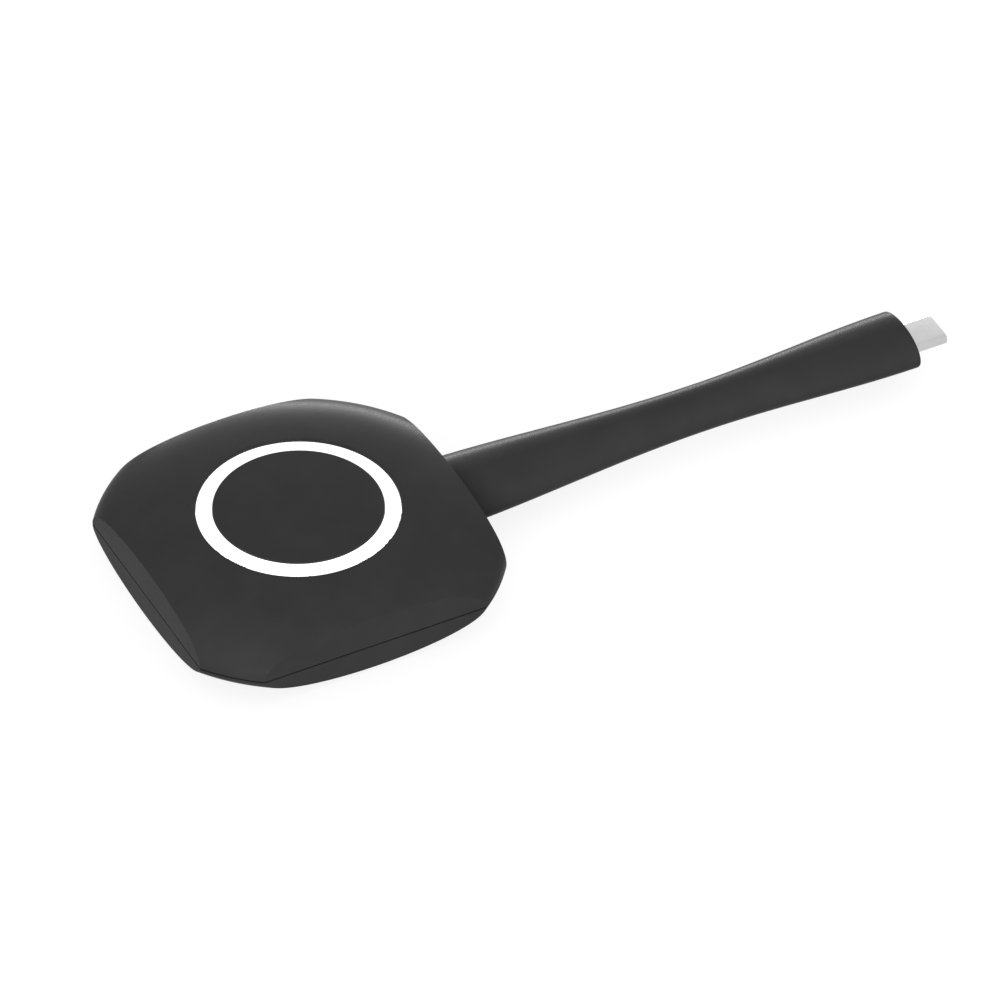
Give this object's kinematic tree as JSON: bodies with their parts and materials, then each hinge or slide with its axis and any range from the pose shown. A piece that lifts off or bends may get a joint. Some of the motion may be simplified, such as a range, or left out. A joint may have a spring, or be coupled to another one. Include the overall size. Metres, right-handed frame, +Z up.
{
  "type": "wireless display dongle",
  "caption": "Pebble-shaped dongle with a round push-button inside a light ring, on a flat waisted stem that ends in a reversible metal data plug.",
  "frame": {"origin": "centre of the puck on its rest face, under the middle of the foot pad", "axes": "+X along the stem towards the plug, +Y across the puck, +Z up out of the button"},
  "size_m": [0.1841, 0.0698, 0.0176],
  "materials": {
    "housing": "fine moulded grain, soft sheen",
    "button": "fine moulded grain, soft sheen",
    "stem_rubber": "satin soft-touch moulding",
    "foot": "matte, lightly textured",
    "screw_steel": "blackened steel",
    "ring_light": "translucent white, lit from inside",
    "white_plastic": "white moulded plastic",
    "lamp": "clear resin over phosphor",
    "switch_black": "moulded",
    "board_green": "solder mask over laminate",
    "chip": "moulded epoxy",
    "gap_filler": "soft silicone pad",
    "spreader": "rolled sheet",
    "tinned_steel": "tinned sheet",
    "ferrite": "moulded ferrite",
    "ceramic_parts": "fired ceramic chips",
    "contact_brass": "gold flashed",
    "header_white": "moulded nylon",
    "cable_jacket": "extruded jacket",
    "inner_mould": "moulded",
    "plug_steel": "bright drawn stainless steel",
    "plug_black": "moulded"
  },
  "bodies": {
    "puck": {"top_housing": "housing", "bottom_housing": "housing", "foot_pad": "foot", "housing_screws": "screw_steel", "light_ring": "ring_light", "led_reflector": "white_plastic", "ring_leds": "lamp", "switch_body": "switch_black", "main_board": "board_green", "soc_chip": "chip", "thermal_pad": "gap_filler", "heat_spreader": "spreader", "memory_chips": "chip", "flash_chip": "chip", "radio_module": "board_green", "radio_shield": "tinned_steel", "power_coils": "ferrite", "driver_chips": "chip", "crystal": "tinned_steel", "passives": "ceramic_parts", "antenna_left": "contact_brass", "antenna_right": "contact_brass", "board_header": "header_white", "cable_connector": "header_white", "data_cable": "cable_jacket", "stem_overmould": "stem_rubber", "plug_inner_mould": "inner_mould", "plug_backshell": "tinned_steel", "plug_shell": "plug_steel", "plug_contacts": "contact_brass", "plug_latches": "plug_steel", "plug_insulator": "plug_black", "plug_paddle_board": "board_green"},
    "button": {"button_cap": "button"},
    "plunger": {"switch_plunger": "white_plastic"}
  },
  "joints": [
    {"name": "button_press", "type": "slide", "parent": "puck", "child": "button", "axis": [0, 0, -1], "range_m": [0, 0.0005], "stiffness_N_per_m": 4000, "springref_m": -0.0001},
    {"name": "plunger_press", "type": "slide", "parent": "puck", "child": "plunger", "axis": [0, 0, -1], "range_m": [0, 0.0005]}
  ],
  "couplings": [
    {"joint": "plunger_press", "follows": "button_press", "ratio": 1}
  ]
}
